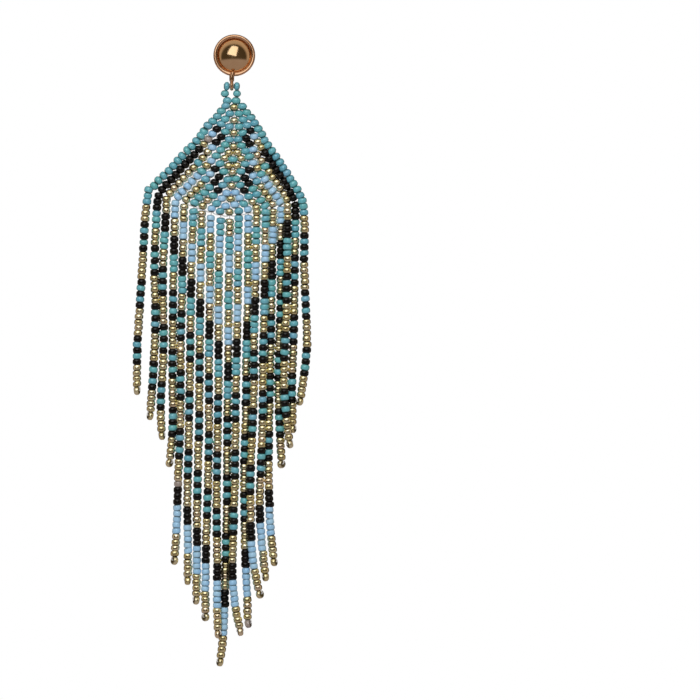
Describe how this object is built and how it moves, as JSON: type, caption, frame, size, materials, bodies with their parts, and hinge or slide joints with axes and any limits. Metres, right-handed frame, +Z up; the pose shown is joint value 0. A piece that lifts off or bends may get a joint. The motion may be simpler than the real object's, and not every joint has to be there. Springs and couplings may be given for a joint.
{
  "type": "beaded fringe drop earring",
  "caption": "Drop earring for a pierced ear: a round stud with a dome in a rolled rim, a ring at the rim, and a brick-stitched seed bead panel with a stepped fringe of bead strings.",
  "frame": {"origin": "back of the post's pad, where it rests on the ear lobe, on the post's axis", "axes": "+Z up, -Y to the front of the earring, +Y along the post into the lobe, +X to the right in front view"},
  "size_m": [0.047, 0.0152, 0.1668],
  "materials": {
    "stud_metal": "polished copper-gold plate",
    "dome_metal": "polished antique gold",
    "post_metal": "plain steel",
    "thread": "white beading thread",
    "bead_turquoise": "opaque turquoise glass",
    "bead_light_blue": "opaque light blue glass",
    "bead_black": "opaque black glass",
    "bead_gold": "metallic gold-lined glass"
  },
  "bodies": {
    "stud": {"stud_cup": "stud_metal", "stud_dome": "dome_metal", "ear_post": "post_metal"},
    "drop": {"hanging_thread": "thread", "loop_bead_upper_left": "bead_turquoise", "loop_bead_upper_right": "bead_turquoise", "loop_bead_lower_left": "bead_turquoise", "loop_bead_lower_right": "bead_turquoise", "woven_panel": "bead_turquoise", "bead_string_01": "bead_turquoise", "bead_string_02": "bead_black", "bead_string_03": "bead_gold", "bead_string_04": "bead_light_blue", "bead_string_05": "bead_gold", "bead_string_06": "bead_turquoise", "bead_string_07": "bead_gold", "bead_string_08": "bead_light_blue", "bead_string_09": "bead_turquoise", "bead_string_10": "bead_gold", "bead_string_11": "bead_turquoise", "bead_string_12": "bead_light_blue", "bead_string_13": "bead_gold", "bead_string_14": "bead_turquoise", "bead_string_15": "bead_gold", "bead_string_16": "bead_light_blue", "bead_string_17": "bead_gold", "bead_string_18": "bead_black", "bead_string_19": "bead_turquoise"}
  },
  "joints": [
    {"name": "drop_swing", "type": "hinge", "parent": "stud", "child": "drop", "pos_m": [-0.00066, -0.00232, -0.00843], "axis": [1, 0, 0], "range_deg": [-90, 90]}
  ]
}
